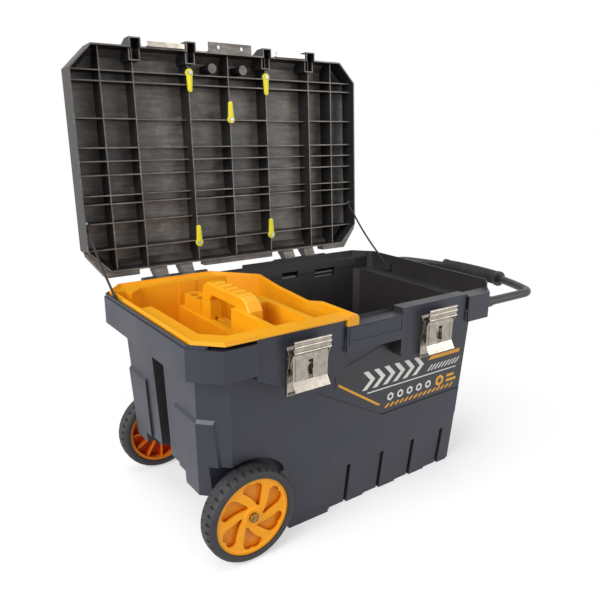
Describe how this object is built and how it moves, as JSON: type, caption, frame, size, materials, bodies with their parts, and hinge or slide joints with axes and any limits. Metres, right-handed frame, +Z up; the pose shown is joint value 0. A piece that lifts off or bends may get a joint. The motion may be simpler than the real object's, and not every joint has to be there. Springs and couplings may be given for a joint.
{
  "type": "rolling tool box",
  "caption": "Wheeled plastic tool box with a ribbed hinged lid, two draw latches, a lift-out tote tray and a pull-out handle.",
  "frame": {"origin": "on the floor under the centre of the rim, on the flat underside", "axes": "+Z up, -Y the front with the latches, +X the end with the pull handle"},
  "size_m": [0.88, 0.5732, 0.8737],
  "materials": {
    "tub_plastic": "moulded polypropylene, fine grain",
    "lid_plastic": "moulded polypropylene, satin",
    "tray_plastic": "moulded polypropylene, satin",
    "hub_plastic": "moulded polypropylene, satin",
    "tyre_rubber": "solid rubber",
    "label_film": "printed film",
    "black_tube": "powder coat",
    "grip_foam": "foam rubber",
    "clip_plastic": "moulded",
    "cord_black": "braided cord",
    "nickel_plate": "nickel plated steel",
    "plain_steel": "zinc plated",
    "black_plastic": "moulded"
  },
  "bodies": {
    "tub": {"tub_shell": "tub_plastic", "label_panel": "label_film", "hinge_pin_left": "plain_steel", "hinge_pin_right": "plain_steel", "wheel_axle": "plain_steel", "axle_spacers": "black_plastic", "axle_cap_front": "nickel_plate", "axle_cap_rear": "nickel_plate", "latch_base_left": "nickel_plate", "latch_base_right": "nickel_plate", "latch_rivets_left": "nickel_plate", "latch_rivets_right": "nickel_plate", "lever_pin_left": "nickel_plate", "lever_pin_right": "nickel_plate", "handle_bush_front": "black_plastic", "handle_bush_back": "black_plastic", "stay_bracket_left": "black_plastic", "stay_bracket_right": "black_plastic", "stay_cord_left": "cord_black", "stay_cord_right": "cord_black"},
    "lid": {"lid_shell": "lid_plastic", "strike_left": "nickel_plate", "strike_right": "nickel_plate", "strike_rivets": "nickel_plate", "stay_screw_left": "plain_steel", "stay_screw_right": "plain_steel", "clip_screws": "plain_steel"},
    "front_wheel": {"wheel_hub_front": "hub_plastic", "wheel_tyre_front": "tyre_rubber"},
    "rear_wheel": {"wheel_hub_rear": "hub_plastic", "wheel_tyre_rear": "tyre_rubber"},
    "pull_handle": {"handle_tube": "black_tube", "handle_grip": "grip_foam", "grip_collars": "black_plastic", "handle_stop_front": "black_plastic", "handle_stop_back": "black_plastic"},
    "tray": {"tote_tray": "tray_plastic"},
    "lever_left": {"latch_lever_left": "nickel_plate"},
    "hook_left": {"latch_hook_left": "nickel_plate", "hook_pin_left": "nickel_plate"},
    "lever_right": {"latch_lever_right": "nickel_plate"},
    "hook_right": {"latch_hook_right": "nickel_plate", "hook_pin_right": "nickel_plate"},
    "clip_upper_left": {"turn_clip_upper_left": "clip_plastic"},
    "clip_upper_right": {"turn_clip_upper_right": "clip_plastic"},
    "clip_middle": {"turn_clip_middle": "clip_plastic"},
    "clip_lower_left": {"turn_clip_lower_left": "clip_plastic"},
    "clip_lower_right": {"turn_clip_lower_right": "clip_plastic"}
  },
  "joints": [
    {"name": "lid_hinge", "type": "hinge", "parent": "tub", "child": "lid", "pos_m": [0, 0.245, 0.391], "axis": [-1, 0, 0], "range_deg": [-93.8, 0], "deforming": ["stay_cord_left", "stay_cord_right"]},
    {"name": "front_wheel_spin", "type": "hinge", "parent": "tub", "child": "front_wheel", "pos_m": [-0.246, -0.185, 0.084], "axis": [0, 1, 0], "continuous": true},
    {"name": "rear_wheel_spin", "type": "hinge", "parent": "tub", "child": "rear_wheel", "pos_m": [-0.246, 0.185, 0.084], "axis": [0, 1, 0], "continuous": true},
    {"name": "handle_slide", "type": "slide", "parent": "tub", "child": "pull_handle", "axis": [1, 0, 0], "range_m": [-0.1, 0.25]},
    {"name": "tray_lift", "type": "slide", "parent": "tub", "child": "tray", "axis": [0, 0, 1], "range_m": [0, 0.15]},
    {"name": "lever_left_swing", "type": "hinge", "parent": "tub", "child": "lever_left", "pos_m": [-0.151, -0.217, 0.358], "axis": [-1, 0, 0], "range_deg": [0, 100]},
    {"name": "hook_left_swing", "type": "hinge", "parent": "lever_left", "child": "hook_left", "pos_m": [-0.151, -0.22, 0.343], "axis": [-1, 0, 0], "range_deg": [-100, 0]},
    {"name": "lever_right_swing", "type": "hinge", "parent": "tub", "child": "lever_right", "pos_m": [0.151, -0.217, 0.358], "axis": [-1, 0, 0], "range_deg": [0, 100]},
    {"name": "hook_right_swing", "type": "hinge", "parent": "lever_right", "child": "hook_right", "pos_m": [0.151, -0.22, 0.343], "axis": [-1, 0, 0], "range_deg": [-100, 0]},
    {"name": "clip_upper_left_turn", "type": "hinge", "parent": "lid", "child": "clip_upper_left", "pos_m": [-0.095, 0.28594, 0.81121], "axis": [0, 0.9978, -0.0663], "range_deg": [-90, 90]},
    {"name": "clip_upper_right_turn", "type": "hinge", "parent": "lid", "child": "clip_upper_right", "pos_m": [0.095, 0.28594, 0.81121], "axis": [0, 0.9978, -0.0663], "range_deg": [-90, 90]},
    {"name": "clip_middle_turn", "type": "hinge", "parent": "lid", "child": "clip_middle", "pos_m": [0, 0.27978, 0.71842], "axis": [0, 0.9978, -0.0663], "range_deg": [-90, 90]},
    {"name": "clip_lower_left_turn", "type": "hinge", "parent": "lid", "child": "clip_lower_left", "pos_m": [-0.095, 0.26234, 0.45599], "axis": [0, 0.9978, -0.0663], "range_deg": [-90, 90]},
    {"name": "clip_lower_right_turn", "type": "hinge", "parent": "lid", "child": "clip_lower_right", "pos_m": [0.095, 0.26234, 0.45599], "axis": [0, 0.9978, -0.0663], "range_deg": [-90, 90]}
  ],
  "couplings": [
    {"joint": "hook_left_swing", "follows": "lever_left_swing", "ratio": -1},
    {"joint": "hook_right_swing", "follows": "lever_right_swing", "ratio": -1}
  ]
}
